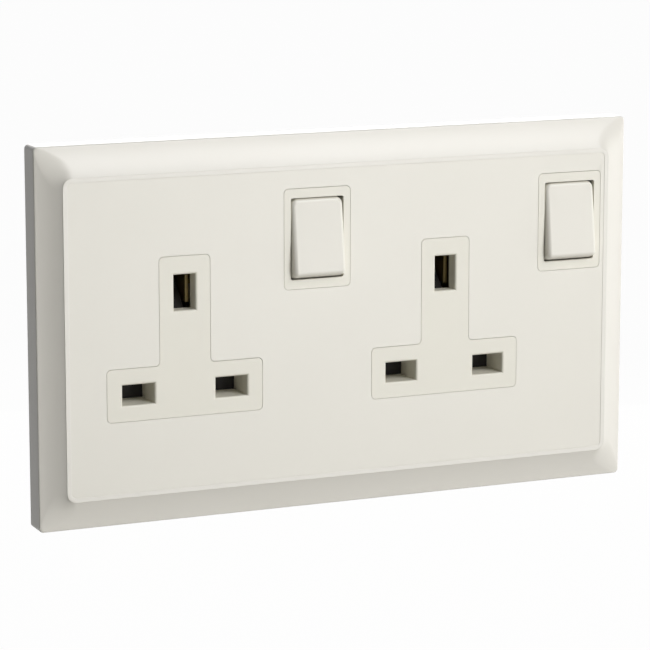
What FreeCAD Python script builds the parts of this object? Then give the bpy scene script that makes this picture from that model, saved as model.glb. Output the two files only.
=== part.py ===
import FreeCAD, Part
import math
import operator
import os
from types import SimpleNamespace

import Sketcher
from FreeCAD import Placement, Rotation, Vector

# Twin switched socket outlet: a moulded surround with a hollowed border, a flat front
# panel, two three-pin sockets and two rocker switches, and the works behind them.
# Millimetres. +X right, +Y back into the wall, +Z up. The wall face is y = 0 and the
# origin is the middle of the plate on that face. Depths are told as "front": how far
# a face stands in front of the wall, so front = -y and the works have a negative one.

doc = FreeCAD.newDocument("twin_socket")
sheet = doc.addObject("Spreadsheet::Sheet", "Sizes")

DRIVING_SIZES = [
    ("left_margin", 8.55, "panel opening to the left socket face"),
    ("right_margin", 1.05, "right switch bezel to the panel opening"),
    ("top_margin", 4.175, "switch bezels to the panel opening"),
    ("plate_radius", 1.0, "surround, outer corners"),
    ("side_depth", 6.2, "wall to the start of the border"),
    ("edge_radius", 0.5, "rounding where side and border meet"),
    ("border_side", 5.6, "border, plate edge to rim, left and right"),
    ("border_top", 6.8, "border, plate edge to rim, top and bottom"),
    ("border_hollow", 0.36, "share of the border's rise that comes late"),
    ("border_radius", 4.4, "border, corner radius half way up"),
    ("rim_front", 9.3, "wall to the top of the rim"),
    ("rim_band", 0.12, "upright edge of the rim"),
    ("rim_width", 1.1, "rim, outer edge to panel"),
    ("rim_radius", 2.2, "rim, outer corners"),
    ("rim_bevel", 0.08, "bevel of the rim's edges"),
    ("panel_step", 0.25, "rim top down to the panel"),
    ("panel_thick", 1.6, "front panel"),
    ("panel_gap", 0.03, "panel to rim, all round"),
    ("ledge_width", 0.8, "ledge that carries the panel"),
    ("ledge_thick", 1.2, "ledge that carries the panel"),
    ("shell_wall", 2.0, "surround, side walls"),
    ("shell_floor", 5.0, "wall to the underside of the border's outer part"),
    ("shell_step", 3.6, "plate edge to the deeper underside"),
    ("catch_width", 9.0, "catches that hold the steel frame"),
    ("catch_spread", 90.0, "catch to catch, left to right"),
    ("catch_grip", 0.7, "how far a catch reaches over the frame"),
    ("catch_gap", 0.06, "catch to the wall and to the frame's back"),
    ("catch_root", 0.5, "how far a catch is sunk in the side wall"),
    ("sheet_thick", 1.2, "steel frame"),
    ("frame_back", 0.6, "wall to the back of the steel frame"),
    ("frame_margin", 3.8, "plate edge to frame edge"),
    ("fixing_inset", 12.7, "plate edge to the fixing screws"),
    ("slot_width", 3.9, "fixing slots, for an M3.5 screw"),
    ("slot_length", 6.9, "fixing slots, end to end"),
    ("works_beside", 4.25, "left socket face to the left side of the works"),
    ("works_past", 0.05, "right bezel to the right side of the works"),
    ("works_above", 0.475, "bezels to the top of the works"),
    ("works_wall", 1.6, "side walls of both mouldings"),
    ("notch_side", 5.0, "fixing screws to the sides of their notches"),
    ("notch_half", 5.6, "half height of that notch"),
    ("deck_gap", 0.25, "panel back to deck"),
    ("deck_thick", 1.5, "deck of the socket moulding"),
    ("socket_pitch", 64.25, "left socket to right socket"),
    ("stem_width", 12.05, "socket face, upright part"),
    ("arm_width", 37.1, "socket face, cross part"),
    ("face_top", 17.5, "socket face, top edge"),
    ("face_shoulder", -6.95, "socket face, top of the cross part"),
    ("face_bottom", -18.85, "socket face, bottom edge"),
    ("face_radius", 1.0, "socket face and bezel corners"),
    ("hairline", 0.08, "gap round each socket face and bezel"),
    ("pin_spacing", 22.23, "line pin to neutral pin, and both to the earth pin's height"),
    ("pin_row", -12.95, "height of the line and neutral pins"),
    ("pin_hole_width", 7.6, "line and neutral apertures"),
    ("pin_hole_height", 4.6, "line and neutral apertures"),
    ("earth_hole_width", 5.1, "earth aperture"),
    ("earth_hole_height", 8.1, "earth aperture"),
    ("pin_hole_depth", 8.0, "face to shutter, line and neutral"),
    ("pin_hole_wall", 1.3, "wall round a line or neutral aperture"),
    ("mouth_round", 0.5, "rounding at every aperture's mouth"),
    ("switch_offset", 32.1, "socket middle to switch middle"),
    ("switch_height", 19.5, "plate middle to switch middle"),
    ("bezel_width", 16.2, "switch bezel"),
    ("bezel_height", 22.85, "switch bezel"),
    ("well_width", 13.0, "rocker opening"),
    ("well_height", 18.6, "rocker opening"),
    ("well_radius", 0.5, "rocker opening, corners"),
    ("well_relief", 0.6, "well is longer than its opening at each end by this"),
    ("well_lip", 0.9, "thickness of the opening's edge"),
    ("well_back", 2.2, "wall to the back of the rocker's well"),
    ("hinge_front", 6.5, "wall to the rocker's hinge line"),
    ("trunnion_radius", 1.2, "rocker's hinge pins"),
    ("trunnion_fit", 0.08, "hinge pin to its hole, on the radius"),
    ("trunnion_reach", 0.95, "how far a hinge pin enters the well's wall"),
    ("rocker_tilt", 7.0, "degrees either side of level"),
    ("rocker_side_gap", 0.16, "rocker to its opening, each side"),
    ("rocker_end_gap", 0.05, "half the opening's height less the radius of the rocker's ends"),
    ("rocker_end_wall", 1.95, "rocker shell, walls at the curved ends"),
    ("rocker_face", 3.7, "hinge line to the rocker's face"),
    ("rocker_skirt", 2.5, "hinge line to the rocker's back edge"),
    ("rocker_wall", 1.3, "rocker shell"),
    ("rocker_round", 1.0, "rounding of the rocker's face"),
    ("rocker_corner", 0.8, "bevel of the rocker's corners"),
    ("tube_radius", 2.4, "plunger tube in the rocker"),
    ("tube_end", 4.2, "hinge line to the end of the plunger tube"),
    ("plunger_radius", 1.57, "plunger head"),
    ("plunger_fit", 0.08, "plunger to its tube, on the radius"),
    ("plunger_start", 0.6, "hinge line to the head of the plunger"),
    ("plunger_shoulder", 4.6, "hinge line to the plunger's shoulder"),
    ("plunger_tip", 7.5, "hinge line to the plunger's tip"),
    ("tip_radius", 1.0, "plunger tip"),
    ("tip_bevel", 0.45, "bevel of the plunger tip"),
    ("rock_front", -2.4, "wall to the moving contact's pivot, behind it"),
    ("rock_angle", 10.5, "moving contact, degrees either side of level"),
    ("ridge_radius", 0.5, "pivot ridge under the moving contact"),
    ("ridge_fit", 0.08, "ridge to its groove, on the radius"),
    ("blade_lift", 0.35, "pivot to the back of the moving contact"),
    ("strip_thick", 0.8, "brass strip of every contact and bar"),
    ("blade_width", 4.6, "moving contact"),
    ("blade_up", 9.2, "pivot to the moving contact's upper end"),
    ("blade_down", 5.0, "pivot to the moving contact's lower end"),
    ("rivet_up", 7.6, "pivot to the silver rivet"),
    ("rivet_radius", 1.4, "silver rivets"),
    ("rivet_height", 0.6, "silver rivets"),
    ("rivet_drop", 0.15, "fixed rivet below the moving one"),
    ("contact_travel", 2.0, "pivot back to the fixed rivet's face"),
    ("strip_width", 5.0, "contact strips and bars"),
    ("line_plane", 9.4, "wall to the line and neutral strips, behind it"),
    ("block_gap", 1.3, "line and neutral strips to the blocks behind them"),
    ("bar_plane", 13.0, "wall to the live bar, behind it"),
    ("earth_plane", 15.2, "wall to the earth bar, behind it"),
    ("grip_mouth", 1.6, "wall to the mouths of the pin grips, behind it"),
    ("grip_width", 5.6, "pin grips, side to side"),
    ("pin_thick", 3.97, "plug pins, thickness"),
    ("grip_pinch", 0.15, "how much closer than a pin a grip stands"),
    ("grip_flare", 0.75, "opening out of a grip's mouth and root"),
    ("grip_waist", 3.4, "wall to the tightest part of a grip, behind it"),
    ("earth_leaf_front", 4.25, "wall to the front end of the earth leaves"),
    ("earth_leaf_height", 6.1, "earth leaves, bottom to top"),
    ("neutral_drop", 8.55, "neutral strip's middle below the pins"),
    ("upper_rise", 7.3, "switch middle to the live contacts' upper run"),
    ("shutter_thick", 1.5, "shutter plate"),
    ("shutter_play", 0.3, "shutter to what it slides on"),
    ("shutter_half_width", 15.2, "shutter, middle to side"),
    ("shutter_cover", 3.3, "shutter above and below the pins' height"),
    ("shutter_travel", 6.0, "how far the earth pin drives the shutter down"),
    ("shutter_stem", 4.8, "shutter stem, width"),
    ("ramp_gap", 0.41, "shutter ramp to the earth leaves"),
    ("ramp_lead", 0.7, "front of the ramp below the foot of the earth pin"),
    ("ramp_short", 0.4, "crest of the ramp short of the full travel"),
    ("earth_pin_height", 7.92, "plug's earth pin, bottom to top"),
    ("ramp_toe", 4.7, "wall to the ramp's front end"),
    ("ramp_heel", 1.6, "wall to the ramp's back end, behind it"),
    ("guide_thick", 1.2, "ribs and guides inside the mouldings"),
    ("guide_drop", 7.5, "pins' height to the lower end of a shutter guide"),
    ("guide_rise", 5.0, "pins' height to the upper end of a shutter guide"),
    ("spring_room", 9.15, "shutter to its spring's seat"),
    ("seat_width", 7.6, "spring seat, side to side"),
    ("seat_depth", 3.3, "front of the shutter to the back of the spring's seat"),
    ("spring_wire", 0.4, "shutter spring wire"),
    ("spring_radius", 1.9, "shutter spring, middle of the wire"),
    ("spring_turns", 5.0, "shutter spring"),
    ("small_wire", 0.34, "plunger spring wire"),
    ("small_radius", 1.15, "plunger spring, middle of the wire"),
    ("small_turns", 4.0, "plunger spring"),
    ("spring_end_gap", 0.08, "spring end to its seat"),
    ("back_depth", 19.4, "wall to the back of the rear housing, behind it"),
    ("back_wall", 1.6, "rear housing, back wall"),
    ("back_chamfer", 1.0, "rear housing, back edges"),
    ("rib_drop", 3.75, "pins' height to the lower end of a rib under a shutter"),
    ("rib_rise", 7.5, "pins' height to the upper end of a rib under a shutter"),
    ("line_rest", 15.0, "rest under a line strip, bottom to top"),
    ("rest_width", 2.4, "rests under the bars, side to side"),
    ("rest_height", 3.0, "rests under the bars, bottom to top"),
    ("left_rest", 5.0, "left socket to the neutral bar's left rest"),
    ("right_rest", 15.5, "right socket to the neutral bar's right rest"),
    ("live_rest", 10.0, "live terminal to the live bar's left rest"),
    ("switch_rest", 9.0, "right switch to the live bar's right rest"),
    ("post_radius", 4.0, "screw posts of the rear housing"),
    ("boss_radius", 3.2, "screw bosses of the socket moulding"),
    ("screw_inset", 5.4, "works' top and bottom to the outer housing screws"),
    ("screw_aside", 5.0, "works' sides, and the right bezel, to the housing screws"),
    ("screw_drop", 8.5, "switch middle down to the inner housing screw"),
    ("screw_radius", 1.45, "housing screws, shank"),
    ("screw_fit", 0.05, "housing screw to its boss, on the radius"),
    ("screw_clearance", 0.25, "housing screw to its post, on the radius"),
    ("screw_head_radius", 2.7, "housing screws"),
    ("screw_head_height", 1.7, "housing screws"),
    ("screw_tip", 5.0, "wall to the tips of the housing screws"),
    ("pilot_spare", 0.3, "boss's hole beyond the screw's tip"),
    ("block_width", 8.0, "terminal blocks"),
    ("block_height", 7.0, "terminal blocks"),
    ("block_back", 19.2, "wall to the backs of the terminal blocks, behind it"),
    ("wire_radius", 2.1, "wire bores"),
    ("wire_depth", 14.4, "wall to the middle of the wire bores, behind it"),
    ("clamp_radius", 1.75, "terminal screws"),
    ("clamp_fit", 0.05, "terminal screw to its thread, on the radius"),
    ("clamp_stop", 0.1, "terminal screw's tip to the wire bore"),
    ("clamp_head", 0.8, "terminal screw, depth of the part with the driver slot"),
    ("clamp_stand", 0.2, "terminal screw, how far it stands out of its block"),
    ("window_gap", 0.35, "terminal block to its window"),
    ("entry_radius", 2.6, "wire entries in the rear housing"),
    ("live_terminal", 8.0, "middle to the live terminal"),
    ("neutral_terminal", -10.5, "middle to the neutral terminal"),
    ("earth_terminal", 3.0, "middle to the earth terminal"),
    ("terminal_inset", 0.4, "works' inner wall to a terminal block"),
]


# Straight bands that make up the hollow border, and straight runs in a spring's turn.
BORDER_STEPS = 6
SPRING_STEPS = 10


class Size:
    """A length that carries its number beside the expression that ties it to the sheet."""

    def __init__(self, number, text=None):
        self.number = float(number)
        self.text = text or "(" + repr(float(number)) + ")"

    def join(self, sign, work, other):
        other = as_size(other)
        text = "(" + self.text + " " + sign + " " + other.text + ")"
        return Size(work(self.number, other.number), text)

    def __add__(self, other):
        return self.join("+", operator.add, other)

    def __radd__(self, other):
        return as_size(other) + self

    def __sub__(self, other):
        return self.join("-", operator.sub, other)

    def __rsub__(self, other):
        return as_size(other) - self

    def __mul__(self, other):
        return self.join("*", operator.mul, other)

    def __rmul__(self, other):
        return as_size(other) * self

    def __truediv__(self, other):
        return self.join("/", operator.truediv, other)

    def __neg__(self):
        return as_size(0) - self


def as_size(value):
    """Turns a plain number into a Size and leaves a Size as it is."""
    return value if isinstance(value, Size) else Size(value)


def fill_sheet():
    """Writes the driving sizes, one a row, and returns them by name."""
    named = {}
    for row, (name, value, note) in enumerate(DRIVING_SIZES, start=1):
        sheet.set("A%d" % row, note)
        sheet.set("B%d" % row, repr(value))
        sheet.setAlias("B%d" % row, name)
        named[name] = Size(value, "Sizes." + name)
    doc.recompute()
    return SimpleNamespace(**named)


s = fill_sheet()
pieces = []
cuts = []


def bind(thing, path, size):
    """Ties one property to the sheet."""
    thing.setExpression(path, as_size(size).text)


def new_body(name):
    """Starts a sub-part that is built from sketches and features."""
    piece = doc.addObject("PartDesign::Body", name)
    piece.Label = name
    pieces.append(piece)
    return piece


def new_sketch(piece, plane, offset=0, right=0, up=0):
    """Lays a sketch on one of the body's own origin planes, moved out by offset."""
    planes = {item.Role: item for item in piece.Origin.OriginFeatures}
    drawn = piece.newObject("Sketcher::SketchObject", piece.Name + "_sketch")
    drawn.AttachmentSupport = [(planes[plane], "")]
    drawn.MapMode = "FlatFace"
    bind(drawn, "AttachmentOffset.Base.x", right)
    bind(drawn, "AttachmentOffset.Base.y", up)
    bind(drawn, "AttachmentOffset.Base.z", offset)
    return drawn


def front_sketch(piece, front, right=0, up=0):
    """A sketch that faces the room: its axes are X and Z, and it stands at that front."""
    return new_sketch(piece, "XZ_Plane", front, right, up)


def tie_point(drawn, line, end, across, up):
    """Holds one end of a line, or a centre, at two sizes from the sketch's origin."""
    for kind, axis, size in (("DistanceX", -2, across), ("DistanceY", -1, up)):
        if abs(size.number) < 1e-9:
            drawn.addConstraint(Sketcher.Constraint("PointOnObject", line, end, axis))
        else:
            held = Sketcher.Constraint(kind, -1, 1, line, end, size.number)
            bind(drawn, "Constraints[%d]" % drawn.addConstraint(held), size)


def flat_point(across, up):
    return Vector(across.number, up.number, 0)


def polygon(drawn, corners):
    """Draws straight lines through the corners, each corner tied to the sheet."""
    corners = [(as_size(across), as_size(up)) for across, up in corners]
    first = drawn.GeometryCount
    count = len(corners)
    for index, corner in enumerate(corners):
        following = corners[(index + 1) % count]
        line = Part.LineSegment(flat_point(*corner), flat_point(*following))
        drawn.addGeometry(line, False)
    for index, corner in enumerate(corners):
        after = first + (index + 1) % count
        drawn.addConstraint(Sketcher.Constraint("Coincident", first + index, 2, after, 1))
        tie_point(drawn, first + index, 1, *corner)
    return drawn


def rectangle(drawn, width, height, across=0, up=0):
    """A rectangle about a point."""
    left = as_size(across) - width / 2
    right = as_size(across) + width / 2
    low = as_size(up) - height / 2
    high = as_size(up) + height / 2
    return polygon(drawn, [(left, low), (right, low), (right, high), (left, high)])


def circle(drawn, radius, across=0, up=0):
    """A circle about a point."""
    across = as_size(across)
    up = as_size(up)
    ring = Part.Circle(flat_point(across, up), Vector(0, 0, 1), radius.number)
    index = drawn.addGeometry(ring, False)
    tie_point(drawn, index, 3, across, up)
    held = drawn.addConstraint(Sketcher.Constraint("Radius", index, radius.number))
    bind(drawn, "Constraints[%d]" % held, radius)
    return drawn


def arc_loop(drawn, radius, centres, starts):
    """Joins equal arcs by straight tangent lines, in order, into one closed outline."""
    first = drawn.GeometryCount
    count = len(centres)
    sweep = 2 * math.pi / count
    arcs = []
    for (across, up), start in zip(centres, starts):
        ring = Part.Circle(flat_point(across, up), Vector(0, 0, 1), radius.number)
        arcs.append(Part.ArcOfCircle(ring, start, start + sweep))
    for index, arc in enumerate(arcs):
        drawn.addGeometry(arc, False)
        following = arcs[(index + 1) % count]
        line = Part.LineSegment(arc.EndPoint, following.StartPoint)
        drawn.addGeometry(line, False)
    for index, centre in enumerate(centres):
        arc = first + 2 * index
        after = first + (2 * index + 2) % (2 * count)
        drawn.addConstraint(Sketcher.Constraint("Tangent", arc, 2, arc + 1, 1))
        drawn.addConstraint(Sketcher.Constraint("Tangent", arc + 1, 2, after, 1))
        tie_point(drawn, arc, 3, *centre)
        if index:
            drawn.addConstraint(Sketcher.Constraint("Equal", first, arc))
    held = drawn.addConstraint(Sketcher.Constraint("Radius", first, radius.number))
    bind(drawn, "Constraints[%d]" % held, radius)
    return drawn


def rounded_rectangle(drawn, width, height, radius):
    """A rectangle with round corners about the sketch's origin."""
    side = as_size(width) / 2 - radius
    rise = as_size(height) / 2 - radius
    centres = [(side, rise), (-side, rise), (-side, -rise), (side, -rise)]
    starts = [0, math.pi / 2, math.pi, 3 * math.pi / 2]
    return arc_loop(drawn, as_size(radius), centres, starts)


def slot(drawn, length, width, across):
    """A slot with round ends that lies left to right."""
    reach = (length - width) / 2
    middle = as_size(0)
    centres = [(as_size(across) + reach, middle), (as_size(across) - reach, middle)]
    return arc_loop(drawn, width / 2, centres, [-math.pi / 2, math.pi / 2])


def pad(piece, outline, length, both_ways=False):
    """Thickens an outline along its sketch's normal."""
    grown = piece.newObject("PartDesign::Pad", outline.Name + "_pad")
    grown.Profile = outline
    bind(grown, "Length", length)
    if both_ways:
        grown.SideType = "Symmetric"
    return grown


def pocket(piece, outline, length, forwards=False, both_ways=False):
    """Cuts an outline away: against its sketch's normal, or forwards along it."""
    cut = piece.newObject("PartDesign::Pocket", outline.Name + "_pocket")
    cut.Profile = outline
    bind(cut, "Length", length)
    cut.Reversed = forwards
    if both_ways:
        cut.SideType = "Symmetric"
    cuts.append(cut)
    return cut


def edge_names(base, wanted):
    """Names of a feature's edges whose middle and direction the test accepts."""
    doc.recompute()
    names = []
    for index, edge in enumerate(base.Shape.Edges, start=1):
        half = (edge.FirstParameter + edge.LastParameter) / 2
        if wanted(edge.valueAt(half), edge.tangentAt(half)):
            names.append("Edge%d" % index)
    return names


def soften(piece, base, wanted, size, kind="Fillet"):
    """Rounds or chamfers the edges that the test accepts."""
    done = piece.newObject("PartDesign::" + kind, piece.Name + "_" + kind.lower())
    done.Base = (base, edge_names(base, wanted))
    bind(done, "Radius" if kind == "Fillet" else "Size", size)
    return done


def along_y(direction):
    return abs(direction.y) > 0.99


def near(value, size):
    return abs(value - as_size(size).number) < 0.01


def place(piece, across, front, up, turn=0.0):
    """Puts a piece that was built about its own pivot where the pivot belongs."""
    piece.Placement = Placement(Vector(), Rotation(Vector(1, 0, 0), turn))
    bind(piece, "Placement.Base.x", across)
    bind(piece, "Placement.Base.y", -as_size(front))
    bind(piece, "Placement.Base.z", up)


# Places that several pieces share. The plate's size follows from what it holds.
plate_width = (s.left_margin + s.arm_width / 2 + s.socket_pitch + s.switch_offset
               + s.bezel_width / 2 + s.right_margin + (s.border_side + s.rim_width) * 2)
plate_height = (s.switch_height + s.bezel_height / 2 + s.top_margin + s.rim_width + s.border_top) * 2
first_socket = s.border_side + s.rim_width + s.left_margin + s.arm_width / 2 - plate_width / 2
sockets = {"left": first_socket, "right": first_socket + s.socket_pitch}
works_left = s.arm_width / 2 + s.works_beside - first_socket
works_right = sockets["right"] + s.switch_offset + s.bezel_width / 2 + s.works_past
works_half_height = s.switch_height + s.bezel_height / 2 + s.works_above
fixing_spacing = plate_width - s.fixing_inset * 2
notch_reach = fixing_spacing / 2 - s.notch_side
panel_front = s.rim_front - s.panel_step
panel_back = panel_front - s.panel_thick
deck_front = panel_back - s.deck_gap
deck_back = deck_front - s.deck_thick
frame_front = s.frame_back + s.sheet_thick
rim_outer_width = plate_width - s.border_side * 2
rim_outer_height = plate_height - s.border_top * 2
opening_width = rim_outer_width - s.rim_width * 2
opening_height = rim_outer_height - s.rim_width * 2
opening_radius = s.rim_radius - s.rim_width
chimney_back = panel_front - s.pin_hole_depth
shutter_front = chimney_back - s.shutter_play
shutter_back = shutter_front - s.shutter_thick
earth_row = s.pin_row + s.pin_spacing
back_inside = s.back_wall - s.back_depth
rocker_end_radius = s.well_height / 2 - s.rocker_end_gap
ramp_width = s.pin_thick - s.grip_pinch - s.ramp_gap * 2
upper_run = s.switch_height + s.upper_rise
seat_height = s.pin_row - s.shutter_cover - s.spring_room
strip_back = s.line_plane + s.strip_thick
block_front = strip_back + s.block_gap
screw_row = works_half_height - s.screw_inset
screw_places = [
    (s.screw_aside - works_left, screw_row),
    (s.screw_aside - works_left, -screw_row),
    (sockets["right"] + s.switch_offset - s.bezel_width / 2 - s.screw_aside,
     s.switch_height - s.screw_drop),
    (works_right - s.screw_aside, -screw_row),
]
top_block = works_half_height - s.works_wall - s.terminal_inset - s.block_height / 2
terminals = [
    (s.live_terminal, top_block),
    (s.neutral_terminal, -top_block),
    (s.earth_terminal, -top_block),
]


def works_outline(drawn, inset):
    """The works' outline, stepped in at both sides to clear the fixing screws."""
    left = inset - works_left
    right = works_right - inset
    top = works_half_height - inset
    near_side = notch_reach - inset
    notch = s.notch_half + inset
    return polygon(drawn, [
        (left, -top), (right, -top), (right, -notch), (near_side, -notch),
        (near_side, notch), (right, notch), (right, top), (left, top),
        (left, notch), (-near_side, notch), (-near_side, -notch), (left, -notch),
    ])


def face_outline(drawn, middle, spread):
    """The T of one socket face, grown all round by spread."""
    stem = s.stem_width / 2 + spread
    arm = s.arm_width / 2 + spread
    low = s.face_bottom - spread
    shoulder = s.face_shoulder + spread
    top = s.face_top + spread
    return polygon(drawn, [
        (middle - arm, low), (middle + arm, low), (middle + arm, shoulder),
        (middle + stem, shoulder), (middle + stem, top), (middle - stem, top),
        (middle - stem, shoulder), (middle - arm, shoulder),
    ])


def face_corner(point, middle, spread):
    """True at a corner of a socket face or of the bezel beside it."""
    grown = spread.number
    across = abs(point.x - middle.number)
    stem = s.stem_width.number / 2 + grown
    arm = s.arm_width.number / 2 + grown
    at_low = near(point.z, s.face_bottom.number - grown)
    at_shoulder = near(point.z, s.face_shoulder.number + grown)
    at_top = near(point.z, s.face_top.number + grown)
    on_arm = near(across, arm) and (at_low or at_shoulder)
    on_stem = near(across, stem) and (at_top or at_shoulder)
    side = abs(point.x - (middle + s.switch_offset).number)
    rise = abs(point.z - s.switch_height.number)
    on_bezel = near(side, s.bezel_width / 2 + spread) and near(rise, s.bezel_height / 2 + spread)
    return on_arm or on_stem or on_bezel


def build_surround():
    """Moulded surround: straight sides, a hollowed border, and a rim round the panel."""
    piece = new_body("surround")
    outer = front_sketch(piece, 0)
    pad(piece, rounded_rectangle(outer, plate_width, plate_height, s.plate_radius), s.side_depth)
    rise = s.rim_front - s.rim_band - s.side_depth
    sections = []
    for step in range(BORDER_STEPS + 1):
        share = step / BORDER_STEPS
        lift = rise * ((1 - s.border_hollow) * share + s.border_hollow * (share * share))
        radius = (s.plate_radius * ((1 - share) * (1 - 2 * share))
                  + s.border_radius * (4 * share * (1 - share))
                  + s.rim_radius * (share * (2 * share - 1)))
        ring = front_sketch(piece, s.side_depth + lift)
        width = plate_width - s.border_side * (2 * share)
        height = plate_height - s.border_top * (2 * share)
        sections.append(rounded_rectangle(ring, width, height, radius))
    border = piece.newObject("PartDesign::AdditiveLoft", "surround_border")
    border.Profile = sections[0]
    border.Sections = [(ring, [""]) for ring in sections[1:]]
    border.Ruled = True
    band = front_sketch(piece, s.rim_front - s.rim_band)
    pad(piece, rounded_rectangle(band, rim_outer_width, rim_outer_height, s.rim_radius), s.rim_band)
    opening = front_sketch(piece, s.rim_front)
    rounded_rectangle(opening, opening_width, opening_height, opening_radius)
    pocket(piece, opening, s.rim_front - panel_back)
    ledge_width = opening_width - s.ledge_width * 2
    ledge_height = opening_height - s.ledge_width * 2
    through = front_sketch(piece, s.rim_front)
    pocket(piece, rectangle(through, ledge_width, ledge_height), s.rim_front)
    inside = front_sketch(piece, 0)
    rectangle(inside, plate_width - s.shell_wall * 2, plate_height - s.shell_wall * 2)
    pocket(piece, inside, s.shell_floor, forwards=True)
    deeper = front_sketch(piece, 0)
    rectangle(deeper, plate_width - s.shell_step * 2, plate_height - s.shell_step * 2)
    pocket(piece, deeper, panel_back - s.ledge_thick, forwards=True)
    frame_edge = plate_height / 2 - s.frame_margin
    wall_inside = plate_height / 2 - s.shell_wall
    for low, length, reach in ((s.catch_gap, s.frame_back - s.catch_gap * 2, s.catch_grip),
                               (frame_front, s.shell_floor - frame_front, s.catch_grip * 2)):
        tabs = front_sketch(piece, low)
        for across in (-s.catch_spread / 2, s.catch_spread / 2):
            for way in (-1, 1):
                height = wall_inside - frame_edge + reach + s.catch_root
                middle = (wall_inside + s.catch_root - height / 2) * way
                rectangle(tabs, s.catch_width, height, across, middle)
        last = pad(piece, tabs, length)
    rounded = soften(piece, last, lambda point, way: near(point.y, -s.side_depth)
                     and (abs(point.x) > (plate_width / 2 - s.plate_radius).number
                          or abs(point.z) > (plate_height / 2 - s.plate_radius).number),
                     s.edge_radius)
    soften(piece, rounded, lambda point, way: near(point.y, -s.rim_front), s.rim_bevel,
           "Chamfer")
    return piece


def build_front_panel():
    """Flat panel with an opening for each socket face and each switch bezel."""
    piece = new_body("front_panel")
    plate = front_sketch(piece, panel_back)
    gap = s.panel_gap
    rounded_rectangle(plate, opening_width - gap * 2, opening_height - gap * 2, opening_radius - gap)
    pad(piece, plate, s.panel_thick)
    holes = front_sketch(piece, panel_front)
    for middle in sockets.values():
        face_outline(holes, middle, s.hairline)
        rectangle(holes, s.bezel_width + s.hairline * 2, s.bezel_height + s.hairline * 2,
                  middle + s.switch_offset, s.switch_height)
    cut = pocket(piece, holes, s.panel_thick)
    soften(piece, cut, lambda point, way: along_y(way)
           and any(face_corner(point, middle, s.hairline) for middle in sockets.values()),
           s.face_radius)
    return piece


def build_support_frame():
    """Steel frame that is screwed to the wall box and carries everything else."""
    piece = new_body("support_frame")
    plate = front_sketch(piece, s.frame_back)
    width = plate_width - s.frame_margin * 2
    height = plate_height - s.frame_margin * 2
    pad(piece, rounded_rectangle(plate, width, height, s.rim_radius), s.sheet_thick)
    opening = front_sketch(piece, frame_front)
    pocket(piece, works_outline(opening, s.works_wall), s.sheet_thick)
    slots = front_sketch(piece, frame_front)
    for across in (-fixing_spacing / 2, fixing_spacing / 2):
        slot(slots, s.slot_length, s.slot_width, across)
    pocket(piece, slots, s.sheet_thick)
    return piece


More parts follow.
